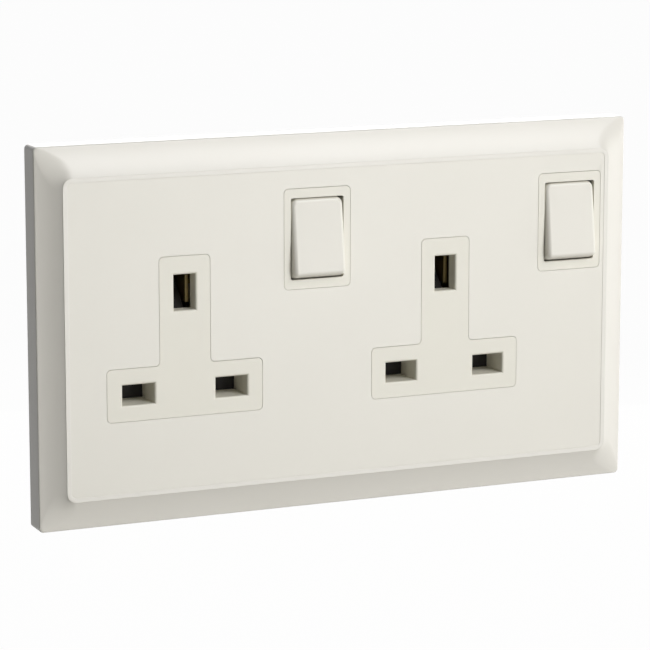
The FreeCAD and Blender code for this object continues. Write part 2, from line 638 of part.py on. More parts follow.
def build_socket_moulding():
    """Front moulding: deck, socket faces, bezels, aperture walls and rocker wells."""
    piece = new_body("socket_moulding")
    pad(piece, works_outline(front_sketch(piece, frame_front), 0), deck_front - frame_front)
    hollow = works_outline(front_sketch(piece, frame_front), s.works_wall)
    pocket(piece, hollow, deck_back - frame_front, forwards=True)
    faces = front_sketch(piece, deck_back)
    for middle in sockets.values():
        face_outline(faces, middle, as_size(0))
    pad(piece, faces, panel_front - deck_back)
    bezels = front_sketch(piece, s.well_back)
    for middle in sockets.values():
        rectangle(bezels, s.bezel_width, s.bezel_height, middle + s.switch_offset, s.switch_height)
    pad(piece, bezels, panel_front - s.well_back)
    chimneys = front_sketch(piece, chimney_back)
    pin_holes = front_sketch(piece, panel_front)
    earth_holes = front_sketch(piece, panel_front)
    for middle in sockets.values():
        for across in (middle - s.pin_spacing / 2, middle + s.pin_spacing / 2):
            rectangle(chimneys, s.pin_hole_width + s.pin_hole_wall * 2,
                      s.pin_hole_height + s.pin_hole_wall * 2, across, s.pin_row)
            rectangle(pin_holes, s.pin_hole_width, s.pin_hole_height, across, s.pin_row)
        rectangle(earth_holes, s.earth_hole_width, s.earth_hole_height, middle, earth_row)
    pad(piece, chimneys, deck_back - chimney_back)
    guides = front_sketch(piece, shutter_back)
    seats = front_sketch(piece, shutter_front - s.seat_depth)
    reach = s.shutter_half_width + s.shutter_play + s.guide_thick / 2
    for middle in sockets.values():
        for across in (middle - reach, middle + reach):
            rectangle(guides, s.guide_thick, s.guide_drop + s.guide_rise, across,
                      s.pin_row + (s.guide_rise - s.guide_drop) / 2)
        rectangle(seats, s.seat_width, s.guide_thick, middle, seat_height - s.guide_thick / 2)
    pad(piece, guides, deck_back - shutter_back)
    pad(piece, seats, deck_back - shutter_front + s.seat_depth)
    bosses = front_sketch(piece, s.frame_back)
    pilots = front_sketch(piece, s.frame_back)
    for across, up in screw_places:
        circle(bosses, s.boss_radius, across, up)
        circle(pilots, s.screw_radius + s.screw_fit, across, up)
    pad(piece, bosses, deck_back - s.frame_back)
    pocket(piece, pilots, s.screw_tip - s.frame_back + s.pilot_spare, forwards=True)
    pocket(piece, pin_holes, s.pin_hole_depth)
    pocket(piece, earth_holes, panel_front - deck_back)
    wells = front_sketch(piece, s.well_back)
    for middle in sockets.values():
        across = middle + s.switch_offset
        opening = front_sketch(piece, panel_front, across, s.switch_height)
        rounded_rectangle(opening, s.well_width, s.well_height, s.well_radius)
        pocket(piece, opening, panel_front - s.well_back)
        rectangle(wells, s.well_width, s.well_height + s.well_relief * 2, across, s.switch_height)
    pocket(piece, wells, panel_front - s.well_lip - s.well_back, forwards=True)
    last = None
    for middle in sockets.values():
        pivots = new_sketch(piece, "YZ_Plane", middle + s.switch_offset)
        circle(pivots, s.trunnion_radius + s.trunnion_fit, -s.hinge_front, s.switch_height)
        depth = s.well_width + (s.trunnion_reach + s.trunnion_fit * 2) * 2
        last = pocket(piece, pivots, depth, both_ways=True)
    rounded = soften(piece, last, lambda point, way: along_y(way)
                     and point.y < -deck_front.number
                     and any(face_corner(point, middle, as_size(0)) for middle in sockets.values()),
                     s.face_radius)
    soften(piece, rounded, lambda point, way: near(point.y, -panel_front) and mouth_edge(point),
           s.mouth_round)
    return piece


def mouth_edge(point):
    """True on an edge of a pin aperture's mouth."""
    for middle in sockets.values():
        for across, up, width, height in (
                (middle - s.pin_spacing / 2, s.pin_row, s.pin_hole_width, s.pin_hole_height),
                (middle + s.pin_spacing / 2, s.pin_row, s.pin_hole_width, s.pin_hole_height),
                (middle, earth_row, s.earth_hole_width, s.earth_hole_height)):
            side = abs(point.x - across.number)
            rise = abs(point.z - up.number)
            if side < width.number / 2 + 0.01 and rise < height.number / 2 + 0.01:
                return True
    return False


def build_rear_housing():
    """Rear moulding: a tray with screw posts, ribs under the bars and terminal windows."""
    piece = new_body("rear_housing")
    block = pad(piece, works_outline(front_sketch(piece, -s.back_depth), 0), s.back_depth + s.frame_back)
    soften(piece, block, lambda point, way: near(point.y, s.back_depth), s.back_chamfer, "Chamfer")
    inside = works_outline(front_sketch(piece, s.frame_back), s.works_wall)
    pocket(piece, inside, s.frame_back - back_inside)
    posts = front_sketch(piece, back_inside)
    bores = front_sketch(piece, -s.back_depth)
    heads = front_sketch(piece, -s.back_depth)
    for across, up in screw_places:
        circle(posts, s.post_radius, across, up)
        circle(bores, s.screw_radius + s.screw_clearance, across, up)
        circle(heads, s.screw_head_radius + s.screw_clearance, across, up)
    pad(piece, posts, s.frame_back - back_inside)
    ribs = front_sketch(piece, back_inside)
    rests = front_sketch(piece, back_inside)
    for middle in sockets.values():
        for across in (middle - s.stem_width / 2, middle + s.stem_width / 2):
            rectangle(ribs, s.guide_thick, s.rib_rise + s.rib_drop, across,
                      s.pin_row + (s.rib_rise - s.rib_drop) / 2)
        line = middle + s.pin_spacing / 2
        rectangle(rests, s.guide_thick, s.line_rest, line, s.pin_row + s.line_rest / 2)
    for across in (sockets["left"] - s.left_rest, sockets["right"] - s.right_rest):
        rectangle(rests, s.rest_width, s.rest_height, across, s.pin_row - s.neutral_drop)
    pad(piece, ribs, shutter_back - s.shutter_play - back_inside)
    pad(piece, rests, -strip_back - back_inside)
    pegs = front_sketch(piece, back_inside)
    right_switch = sockets["right"] + s.switch_offset
    for across in (s.live_terminal + s.live_rest, right_switch - s.switch_rest):
        rectangle(pegs, s.rest_width, s.rest_height, across, s.switch_height)
    pad(piece, pegs, -s.bar_plane - s.strip_thick - back_inside)
    pocket(piece, bores, s.back_depth + s.frame_back, forwards=True)
    pocket(piece, heads, s.screw_head_height + s.screw_clearance, forwards=True)
    windows = front_sketch(piece, -s.back_depth)
    for across, up in terminals:
        rectangle(windows, s.block_width + s.window_gap * 2, s.block_height + s.window_gap * 2, across, up)
    pocket(piece, windows, s.back_wall, forwards=True)
    for across, up in terminals:
        edge = works_half_height if up.number > 0 else -works_half_height
        entry = new_sketch(piece, "XY_Plane", edge)
        circle(entry, s.entry_radius, across, s.wire_depth)
        pocket(piece, entry, s.works_wall, forwards=up.number < 0)
    return piece


def build_rocker(side):
    """Rocker shell with curved ends, hinge pins and a tube for its plunger."""
    piece = new_body("rocker_" + side)
    width = s.well_width - s.rocker_side_gap * 2
    drum = new_sketch(piece, "YZ_Plane")
    pad(piece, circle(drum, rocker_end_radius), width, both_ways=True)
    clear = rocker_end_radius * 2
    faces = new_sketch(piece, "YZ_Plane")
    polygon(faces, [(-clear, -clear), (-s.rocker_face, -clear), (-s.rocker_face, clear), (-clear, clear)])
    polygon(faces, [(s.rocker_skirt, -clear), (clear, -clear), (clear, clear), (s.rocker_skirt, clear)])
    block = pocket(piece, faces, clear, both_ways=True)
    corners = soften(piece, block, lambda point, way: near(abs(point.x), width / 2)
                     and abs(point.z) > rocker_end_radius.number * 0.8 and abs(way.z) < 0.9
                     and abs(way.x) < 0.1 and abs(point.y) < s.rocker_face.number - 0.01,
                     s.rocker_corner, "Chamfer")
    soften(piece, corners, lambda point, way: near(point.y, -s.rocker_face), s.rocker_round)
    pins = new_sketch(piece, "YZ_Plane")
    reach = s.well_width / 2 + s.trunnion_reach
    pad(piece, circle(pins, s.trunnion_radius), reach * 2, both_ways=True)
    inside = front_sketch(piece, -s.rocker_skirt)
    rectangle(inside, width - s.rocker_wall * 2, (rocker_end_radius - s.rocker_end_wall) * 2)
    pocket(piece, inside, s.rocker_skirt + s.rocker_face - s.rocker_wall, forwards=True)
    tube = front_sketch(piece, -s.tube_end)
    pad(piece, circle(tube, s.tube_radius), s.tube_end + s.rocker_face - s.rocker_wall)
    bore = front_sketch(piece, -s.tube_end)
    circle(bore, s.plunger_radius + s.plunger_fit)
    pocket(piece, bore, s.tube_end + s.rocker_face - s.rocker_wall, forwards=True)
    place(piece, sockets[side] + s.switch_offset, s.hinge_front, s.switch_height, -s.rocker_tilt.number)
    return piece


def build_plunger(side):
    """Plunger that the rocker drives across the moving contact."""
    piece = new_body("plunger_" + side)
    head = front_sketch(piece, -s.plunger_shoulder)
    pad(piece, circle(head, s.plunger_radius), s.plunger_shoulder - s.plunger_start)
    nose = front_sketch(piece, -s.plunger_tip)
    tip = pad(piece, circle(nose, s.tip_radius), s.plunger_tip - s.plunger_shoulder)
    soften(piece, tip, lambda point, way: near(point.y, s.plunger_tip), s.tip_bevel, "Chamfer")
    place(piece, sockets[side] + s.switch_offset, s.hinge_front, s.switch_height, -s.rocker_tilt.number)
    return piece


def build_moving_contact(side):
    """Brass blade that rocks on the live bar's ridge and carries a silver rivet."""
    piece = new_body("moving_contact_" + side)
    front = -s.blade_lift - s.strip_thick
    kick = s.strip_thick / 2
    profile = new_sketch(piece, "YZ_Plane")
    polygon(profile, [
        (-s.blade_lift, -s.blade_down), (-s.blade_lift, s.blade_up), (front, s.blade_up),
        (front, -s.blade_down), (front + kick, -s.blade_down - kick * 2),
        (-s.blade_lift + kick, -s.blade_down - kick * 2),
    ])
    pad(piece, profile, s.blade_width, both_ways=True)
    groove = new_sketch(piece, "YZ_Plane")
    circle(groove, s.ridge_radius + s.ridge_fit)
    pocket(piece, groove, s.blade_width * 2, both_ways=True)
    rivet = front_sketch(piece, -s.rivet_height + s.blade_lift, 0, s.rivet_up)
    pad(piece, circle(rivet, s.rivet_radius), s.rivet_height)
    place(piece, sockets[side] + s.switch_offset, s.rock_front, s.switch_height, s.rock_angle.number)
    return piece


def grip_leaves(drawn, middle, mouth, waist, root, sign):
    """Two springy leaves that pinch a pin; across is measured from the pin's middle."""
    pinch = (s.pin_thick - s.grip_pinch) / 2
    wide = pinch + s.grip_flare
    for way in (-1, 1):
        inner = [(mouth, wide * way), (waist, pinch * way), (root, wide * way)]
        outer = [(depth, across + s.strip_thick * way) for depth, across in reversed(inner)]
        corners = [(as_size(depth) * sign, middle + across) for depth, across in inner + outer]
        polygon(drawn, corners)


def build_live_contact(side):
    """Strip from a switch's fixed rivet down to the line pin's grip."""
    piece = new_body("live_contact_" + side)
    line = sockets[side] + s.pin_spacing / 2
    switch = sockets[side] + s.switch_offset
    half = s.strip_width / 2
    top = upper_run + half
    low = upper_run - half
    foot = s.pin_row - s.grip_width / 2 - s.strip_thick
    flat = front_sketch(piece, -strip_back)
    polygon(flat, [
        (line - half, foot), (line + half, foot), (line + half, low), (switch + half, low),
        (switch + half, top), (line - half, top),
    ])
    pad(piece, flat, s.strip_thick)
    leaves = new_sketch(piece, "YZ_Plane", line)
    grip_leaves(leaves, s.pin_row, s.grip_mouth, s.grip_waist, s.line_plane + s.strip_thick / 2, 1)
    pad(piece, leaves, s.grip_width, both_ways=True)
    rivet_face = s.contact_travel - s.rock_front
    flange = rivet_face + s.rivet_height
    bend = new_sketch(piece, "YZ_Plane", switch)
    polygon(bend, [
        (s.line_plane + s.strip_thick / 2, top - s.strip_thick),
        (s.line_plane + s.strip_thick / 2, top),
        (flange, top), (flange, s.switch_height + s.rivet_up - s.rivet_radius),
        (flange + s.strip_thick, s.switch_height + s.rivet_up - s.rivet_radius),
        (flange + s.strip_thick, top - s.strip_thick),
    ])
    pad(piece, bend, s.blade_width, both_ways=True)
    rivet = front_sketch(piece, -flange, switch, s.switch_height + s.rivet_up - s.rivet_drop)
    pad(piece, circle(rivet, s.rivet_radius), s.rivet_height)
    return piece


def terminal_block(piece, across, up, front=None):
    """Brass block with a wire bore from below or above and a thread for its screw."""
    near_face = block_front if front is None else front
    block = front_sketch(piece, -s.block_back, across, up)
    pad(piece, rectangle(block, s.block_width, s.block_height), s.block_back - near_face)
    wire = new_sketch(piece, "XY_Plane", up)
    circle(wire, s.wire_radius, across, s.wire_depth)
    pocket(piece, wire, s.block_height * 1.2, both_ways=True)
    thread = front_sketch(piece, -s.block_back, across, up)
    circle(thread, s.clamp_radius + s.clamp_fit)
    pocket(piece, thread, s.block_back - s.wire_depth, forwards=True)


def build_live_bar():
    """Bar that feeds both switches from the live terminal."""
    piece = new_body("live_bar")
    half = s.strip_width / 2
    low = s.switch_height - half
    high = s.switch_height + half
    across, up = terminals[0]
    flat = front_sketch(piece, -s.bar_plane - s.strip_thick)
    switches = [middle + s.switch_offset for middle in sockets.values()]
    polygon(flat, [
        (switches[0] - half, low), (switches[1] + half, low), (switches[1] + half, high),
        (across + half, high), (across + half, up), (across - half, up),
        (across - half, high), (switches[0] - half, high),
    ])
    pad(piece, flat, s.strip_thick)
    for switch in switches:
        tab = new_sketch(piece, "YZ_Plane", switch)
        polygon(tab, [
            (-s.rock_front, s.switch_height - s.ridge_radius),
            (s.bar_plane + s.strip_thick / 2, s.switch_height - s.ridge_radius),
            (s.bar_plane + s.strip_thick / 2, s.switch_height + s.ridge_radius),
            (-s.rock_front, s.switch_height + s.ridge_radius),
        ])
        pad(piece, tab, s.blade_width, both_ways=True)
        ridge = new_sketch(piece, "YZ_Plane", switch)
        circle(ridge, s.ridge_radius, -s.rock_front, s.switch_height)
        pad(piece, ridge, s.blade_width, both_ways=True)
    terminal_block(piece, across, up)
    return piece


def build_neutral_bar():
    """Bar that joins both neutral grips to the neutral terminal."""
    piece = new_body("neutral_bar")
    half = s.strip_width / 2
    row = s.pin_row - s.neutral_drop
    pins = [middle - s.pin_spacing / 2 for middle in sockets.values()]
    head = s.pin_row + s.grip_width / 2 + s.strip_thick
    across, up = terminals[1]
    flat = front_sketch(piece, -strip_back)
    polygon(flat, [
        (pins[0] - half, row - half), (across - half, row - half), (across - half, up),
        (across + half, up), (across + half, row - half), (pins[1] + half, row - half),
        (pins[1] + half, head), (pins[1] - half, head), (pins[1] - half, row + half),
        (pins[0] + half, row + half), (pins[0] + half, head), (pins[0] - half, head),
    ])
    pad(piece, flat, s.strip_thick)
    for pin in pins:
        leaves = new_sketch(piece, "YZ_Plane", pin)
        grip_leaves(leaves, s.pin_row, s.grip_mouth, s.grip_waist, s.line_plane + s.strip_thick / 2, 1)
        pad(piece, leaves, s.grip_width, both_ways=True)
    terminal_block(piece, across, up, strip_back)
    return piece


def build_earth_bar():
    """Strap that joins both earth grips to the earth terminal."""
    piece = new_body("earth_bar")
    half = s.strip_width / 2
    across, up = terminals[2]
    middles = list(sockets.values())
    end = s.pin_thick / 2 + s.grip_flare + s.strip_thick
    flat = front_sketch(piece, -s.earth_plane - s.strip_thick)
    polygon(flat, [
        (middles[0] - end, earth_row - half), (across - half, earth_row - half), (across - half, up),
        (across + half, up), (across + half, earth_row - half), (middles[1] + end, earth_row - half),
        (middles[1] + end, earth_row + half), (middles[0] - end, earth_row + half),
    ])
    pad(piece, flat, s.strip_thick)
    pinch = (s.pin_thick - s.grip_pinch) / 2
    wide = pinch + s.grip_flare
    for middle in middles:
        leaves = new_sketch(piece, "XY_Plane", earth_row)
        for way in (-1, 1):
            inner = [(pinch * way, -s.earth_leaf_front), (pinch * way, s.grip_waist),
                     (wide * way, s.earth_plane + s.strip_thick / 2)]
            outer = [(side + s.strip_thick * way, depth) for side, depth in reversed(inner)]
            polygon(leaves, [(middle + side, depth) for side, depth in inner + outer])
        pad(piece, leaves, s.earth_leaf_height, both_ways=True)
    terminal_block(piece, across, up)
    return piece


def build_shutter(side):
    """Shutter: a bar behind the line and neutral apertures, driven down by a ramp."""
    piece = new_body("shutter_" + side)
    middle = sockets[side]
    top = s.pin_row + s.shutter_cover
    low = s.pin_row - s.shutter_cover
    pin_foot = earth_row - s.earth_pin_height / 2
    stem_top = pin_foot - s.ramp_lead
    plate = front_sketch(piece, shutter_back)
    polygon(plate, [
        (middle - s.shutter_half_width, low), (middle + s.shutter_half_width, low),
        (middle + s.shutter_half_width, top), (middle + s.shutter_stem / 2, top),
        (middle + s.shutter_stem / 2, stem_top), (middle - s.shutter_stem / 2, stem_top),
        (middle - s.shutter_stem / 2, top), (middle - s.shutter_half_width, top),
    ])
    pad(piece, plate, s.shutter_thick)
    crest = pin_foot + s.shutter_travel - s.ramp_short
    ramp = new_sketch(piece, "YZ_Plane", middle)
    polygon(ramp, [
        (-shutter_front, stem_top - ramp_width), (-s.ramp_toe, stem_top - s.guide_thick),
        (-s.ramp_toe, stem_top), (s.ramp_heel, crest), (s.ramp_heel + s.shutter_thick, crest),
        (-shutter_back, stem_top - ramp_width),
    ])
    pad(piece, ramp, ramp_width, both_ways=True)
    return piece


def build_spring(name, wire, radius, height, turns):
    """Coil of six-sided wire in straight runs, standing on its own origin along +Z."""
    piece = doc.addObject("Part::Feature", name)
    piece.Label = name
    rise = (height.number - wire.number) / (turns.number * SPRING_STEPS)
    path = []
    for step in range(round(turns.number * SPRING_STEPS) + 1):
        angle = 2 * math.pi * step / SPRING_STEPS
        side = radius.number * math.cos(angle)
        path.append(Vector(side, radius.number * math.sin(angle), wire.number / 2 + rise * step))
    turn = Rotation(Vector(0, 0, 1), path[1] - path[0])
    rim = []
    for step in range(7):
        angle = math.pi * step / 3
        flat = Vector(math.cos(angle), math.sin(angle), 0) * (wire.number / 2)
        rim.append(path[0] + turn.multVec(flat))
    section = Part.makePolygon(rim)
    piece.Shape = Part.makePolygon(path).makePipeShell([section], True, False, 1)
    pieces.append(piece)
    return piece


def build_shutter_spring(side):
    """Spring that lifts the shutter back when the plug is drawn."""
    low = s.pin_row - s.shutter_cover
    height = low - seat_height - s.spring_end_gap * 2
    piece = build_spring("shutter_spring_" + side, s.spring_wire, s.spring_radius, height, s.spring_turns)
    depth = shutter_front - s.shutter_thick / 2
    place(piece, sockets[side], depth, seat_height + s.spring_end_gap)
    return piece


def build_plunger_spring(side):
    """Spring between the rocker and the plunger."""
    start = s.rocker_face - s.rocker_wall
    height = start + s.plunger_start - s.spring_end_gap * 2
    piece = build_spring("plunger_spring_" + side, s.small_wire, s.small_radius, height, s.small_turns)
    tilt = -s.rocker_tilt.number
    turn = Rotation(Vector(1, 0, 0), tilt).multiply(Rotation(Vector(1, 0, 0), -90))
    base = Rotation(Vector(1, 0, 0), tilt).multVec(Vector(0, (s.spring_end_gap - start).number, 0))
    across = sockets[side] + s.switch_offset
    hinge = Vector(across.number, -s.hinge_front.number, s.switch_height.number)
    piece.Placement = Placement(base.add(hinge), turn)
    return piece


def build_screw_group(name, places, radius, tip, head_radius, head_height, back):
    """Identical screws that point at the room, one solid each, in one sub-part.

    Each has a driver slot half as deep as its head and half as wide as its shank's radius.
    """
    solids = []
    for across, up in places:
        heel = Vector(across.number, back.number, up.number)
        neck = Vector(across.number, (back - head_height).number, up.number)
        head = Part.makeCylinder(head_radius.number, head_height.number, heel, Vector(0, -1, 0))
        shank = Part.makeCylinder(radius.number, (back - head_height - tip).number, neck, Vector(0, -1, 0))
        cut = Part.makeBox(head_radius.number * 2, head_height.number / 2, radius.number / 2)
        corner = Vector(-head_radius.number, -head_height.number / 2, -radius.number / 4)
        cut.translate(heel.add(corner))
        solids.append(head.fuse(shank).removeSplitter().cut(cut))
    piece = doc.addObject("Part::Feature", name)
    piece.Label = name
    piece.Shape = Part.makeCompound(solids)
    pieces.append(piece)
    return piece


def build_all():
    build_surround()
    build_front_panel()
    build_support_frame()
    build_socket_moulding()
    build_rear_housing()
    build_live_bar()
    build_neutral_bar()
    build_earth_bar()
    for side in sockets:
        build_rocker(side)
        build_plunger(side)
        build_plunger_spring(side)
        build_moving_contact(side)
        build_live_contact(side)
        build_shutter(side)
        build_shutter_spring(side)
    build_screw_group("housing_screws", screw_places, s.screw_radius, -s.screw_tip,
                      s.screw_head_radius, s.screw_head_height, s.back_depth - s.screw_fit)
    build_screw_group("terminal_screws", terminals, s.clamp_radius,
                      s.wire_depth + s.wire_radius + s.clamp_stop, s.clamp_radius, s.clamp_head,
                      s.block_back + s.clamp_stand)


def check_all():
    """Stops on a failed object, an empty or invalid shape, or a cut that removed nothing."""
    for item in doc.Objects:
        if "Invalid" in item.State or "Error" in item.State:
            raise RuntimeError(item.Name + " failed: " + ", ".join(item.State))
    for piece in pieces:
        if piece.Shape.isNull() or not piece.Shape.isValid() or piece.Shape.Volume <= 0:
            raise RuntimeError(piece.Label + " has no valid shape")
    for cut in cuts:
        if cut.BaseFeature.Shape.Volume - cut.Shape.Volume < 1e-3:
            raise RuntimeError(cut.Name + " removed nothing")


build_all()
doc.recompute()
check_all()
os.makedirs("parts", exist_ok=True)
for piece in pieces:
    piece.Shape.exportStep("parts/" + piece.Label + ".step")
    print(piece.Label, len(piece.Shape.Solids), round(piece.Shape.Volume, 1))
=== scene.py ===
"""The looks of a white twin wall socket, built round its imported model. Lengths are in metres."""

import math

import bmesh
import bpy
from mathutils import Matrix, Vector


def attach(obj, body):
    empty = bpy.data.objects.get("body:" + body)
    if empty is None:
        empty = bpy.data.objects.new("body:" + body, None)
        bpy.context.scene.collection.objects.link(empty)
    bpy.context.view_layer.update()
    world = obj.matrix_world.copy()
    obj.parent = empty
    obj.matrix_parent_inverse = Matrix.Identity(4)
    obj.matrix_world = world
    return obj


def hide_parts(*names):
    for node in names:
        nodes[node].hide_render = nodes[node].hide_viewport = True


MM = 0.001

# The camera: where it stands, how far it looks to the right and down, and its lens.
CAMERA_PLACE = (-279.4 * MM, -630.9 * MM, 125.6 * MM)
CAMERA_TURN = 23.794
CAMERA_DIP = 10.522
CAMERA_LENS = 168.76

# The floor lies far enough below the plate that no shadow falls near it. The glow is the
# share of plain white in what the camera sees of it, and its lit paint is the rest.
FLOOR_DROP = 320 * MM
FLOOR_SIZE = 12.0
FLOOR_GLOW = 0.975

# Soft lamps: side, depth and height of each, its width and height, and its power in watts.
# The right one lights the right border and side, the low one and the near one are what the
# flat faces mirror, and the upper two light the top border. The two behind light the back and
# never the left side, which stays dark.
LAMPS = {
    "right_softbox": ((1.3, -0.35, -0.1), (0.9, 0.9), 4.8),
    "near_softbox": ((0.65, -1.3, 0.1), (0.7, 0.7), 2.0),
    "low_softbox": ((0.55, -1.35, -0.3), (0.5, 0.5), 6.6),
    "upper_softbox": ((0.55, -1.1, 0.72), (0.6, 0.5), 4.2),
    "top_softbox": ((0.42, -0.8, 0.8), (0.6, 0.4), 4.7),
    "back_softbox": ((0.8, 1.2, 0.35), (1.2, 1.1), 5.0),
    "rear_softbox": ((0.5, 1.3, 0.0), (1.4, 1.4), 8.0),
}
# What the room itself gives the object, where the white that the camera sees is 1.
ROOM_LIGHT = 0.03

# How far the urea's roughness strays to either side of its middle value.
GLOSS_SPREAD = 0.03

# Sizes of the front, in millimetres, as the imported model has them, but for RIM_FRONT and
# PANEL_GAP: there the rim stands so little over the panel, and so close, that no dark line
# shows. "Front" is how far something stands off the wall.
PLATE_WIDTH, PLATE_HEIGHT, PLATE_RADIUS = 146.0, 86.0, 1.0
SIDE_DEPTH = 6.2
BORDER_SIDE, BORDER_TOP, BORDER_HOLLOW, BORDER_RADIUS = 5.6, 6.8, 0.36, 4.4
RIM_FRONT, RIM_BAND, RIM_WIDTH, RIM_RADIUS = 9.13, 0.12, 1.1, 2.2
RIM_OUTER_WIDTH = PLATE_WIDTH - BORDER_SIDE * 2
RIM_OUTER_HEIGHT = PLATE_HEIGHT - BORDER_TOP * 2
OPENING_WIDTH = RIM_OUTER_WIDTH - RIM_WIDTH * 2
OPENING_HEIGHT = RIM_OUTER_HEIGHT - RIM_WIDTH * 2
OPENING_RADIUS = RIM_RADIUS - RIM_WIDTH
PANEL_FRONT, PANEL_BACK, PANEL_GAP = 9.05, 7.45, 0.01
LEDGE_WIDTH, LEDGE_THICK = 0.8, 1.2
SHELL_WALL, SHELL_FLOOR, SHELL_STEP = 2.0, 5.0, 3.6
CATCH_WIDTH, CATCH_SPREAD, CATCH_GRIP, CATCH_ROOT = 9.0, 90.0, 0.7, 0.5
CATCH_LOW, CATCH_HIGH = 0.06, 0.54
FRAME_FRONT, FRAME_MARGIN = 1.8, 3.8
SOCKETS = (-39.2, 25.05)
STEM_WIDTH, ARM_WIDTH = 12.05, 37.1
FACE_TOP, FACE_SHOULDER, FACE_BOTTOM, FACE_RADIUS = 17.5, -6.95, -18.85, 1.0
HAIRLINE = 0.08
SWITCH_OFFSET, SWITCH_HEIGHT = 32.1, 19.5
BEZEL_WIDTH, BEZEL_HEIGHT = 16.2, 22.85
WELL_WIDTH, HINGE_FRONT = 13.0, 6.5
ROCKER_SIDE_GAP, ROCKER_END_RADIUS = 0.16, 9.25
ROCKER_FACE, ROCKER_SKIRT, ROCKER_WALL, ROCKER_END_WALL = 3.7, 2.5, 1.3, 1.95
ROCKER_TILT = 7.0
TUBE_RADIUS, TUBE_BORE, TUBE_END = 2.4, 1.65, 4.2
PIN_RADIUS, PIN_REACH, PIN_ROOT = 1.2, 0.95, 0.3

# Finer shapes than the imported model's, in millimetres: the rounding of edges and corners and
# the bands of the border. STEPS and STATIONS are counts, EDGE_SHARE is how much of the
# border's width its outer edge takes, and SHARP_ANGLE is in degrees.
SMALL_RADIUS = 0.3
RIM_INNER_ROUND, RIM_OUTER_ROUND = 0.08, 0.08
PANEL_EDGE_ROUND, PANEL_HOLE_ROUND = 0.01, 0.05
BACK_BEVEL = 0.15
EDGE_SHARE, EDGE_DROP = 0.057, 0.31
BORDER_STATIONS = 24
ROCKER_ROUND, ROCKER_STATIONS = 1.0, 8
ROCKER_LOW_CORNER, ROCKER_HIGH_CORNER = 1.05, 1.7
CORNER_STEPS = 12
EDGE_STEPS = 3
CIRCLE_STEPS = 32
SHARP_ANGLE = 40


def linear(hex_colour):
    """Linear RGBA of an sRGB hex colour such as #e7e4dc."""
    shares = [int(hex_colour[i:i + 2], 16) / 255 for i in (1, 3, 5)]
    return [v / 12.92 if v <= 0.04045 else ((v + 0.055) / 1.055) ** 2.4 for v in shares] + [1.0]


def add(tree, kind, settings=None, links=None):
    """Adds a node, sets its attributes and inputs, and links outputs into its inputs.

    An input is known by its name, or by its number where several have the same name: a Mix
    node's two numbers are inputs 2 and 3, and its two colours are inputs 6 and 7. The number
    that it gives is output 0, and the colour is output 2.
    """
    node = tree.nodes.new(kind)
    for name, value in (settings or {}).items():
        if isinstance(name, str) and hasattr(node, name):
            setattr(node, name, value)
        else:
            node.inputs[name].default_value = value
    for name, output in (links or {}).items():
        tree.links.new(output, node.inputs[name])
    return node


def new_material(name):
    """An empty node material, and its node tree."""
    material = bpy.data.materials.new(name)
    material.use_nodes = True
    material.node_tree.nodes.clear()
    return material, material.node_tree


def finish_material(tree, shader, height, depth):
    """Links the shader to the output, with a bump as deep as that, in metres."""
    bump = add(tree, "ShaderNodeBump", {"Strength": 1.0, "Distance": depth}, {"Height": height})
    tree.links.new(bump.outputs["Normal"], shader.inputs["Normal"])
    add(tree, "ShaderNodeOutputMaterial", links={"Surface": shader.outputs["BSDF"]})


def moulded_urea(name, colours, roughness):
    """Urea plastic pressed in a polished mould: hard, warm white and satin-bright, faintly uneven."""
    material, tree = new_material(name)
    place = add(tree, "ShaderNodeTexCoord").outputs["Object"]
    # The colour drifts over some 30 mm and the gloss over 1 mm, and the skin waves every 6 mm.
    cloud = add(tree, "ShaderNodeTexNoise", {"Scale": 1 / (30 * MM), "Detail": 3.0, "Roughness": 0.5},
                {"Vector": place})
    tone = add(tree, "ShaderNodeMix", {"data_type": "RGBA", 6: linear(colours[0]), 7: linear(colours[1])},
               {"Factor": cloud.outputs["Fac"]})
    fine = add(tree, "ShaderNodeTexNoise", {"Scale": 1 / (1.2 * MM), "Detail": 4.0, "Roughness": 0.6},
               {"Vector": place})
    gloss = add(tree, "ShaderNodeMapRange",
                {"To Min": roughness - GLOSS_SPREAD, "To Max": roughness + GLOSS_SPREAD},
                {"Value": fine.outputs["Fac"]})
    skin = add(tree, "ShaderNodeTexNoise", {"Scale": 1 / (6 * MM), "Detail": 0.0}, {"Vector": place})
    shader = add(tree, "ShaderNodeBsdfPrincipled", {"IOR": 1.55},
                 {"Base Color": tone.outputs[2], "Roughness": gloss.outputs["Result"]})
    finish_material(tree, shader, skin.outputs["Fac"], depth=0.004 * MM)
    return material


def moulded_nylon(name, colours, roughness, spark=1.0):
    """Nylon moulding from a spark-eroded mould: matt, with a fine grain all over."""
    material, tree = new_material(name)
    place = add(tree, "ShaderNodeTexCoord").outputs["Object"]
    # Real spark grain is about 0.1 mm wide, and is drawn coarser so that it shows.
    grain = add(tree, "ShaderNodeTexVoronoi", {"Scale": 1 / (0.35 * MM)}, {"Vector": place})
    cloud = add(tree, "ShaderNodeTexNoise", {"Scale": 1 / (12 * MM), "Detail": 4.0}, {"Vector": place})
    tone = add(tree, "ShaderNodeMix", {"data_type": "RGBA", 6: linear(colours[0]), 7: linear(colours[1])},
               {"Factor": cloud.outputs["Fac"]})
    shader = add(tree, "ShaderNodeBsdfPrincipled", {"IOR": 1.53, "Roughness": roughness},
                 {"Base Color": tone.outputs[2]})
    finish_material(tree, shader, grain.outputs["Distance"], depth=0.02 * MM * spark)
    return material


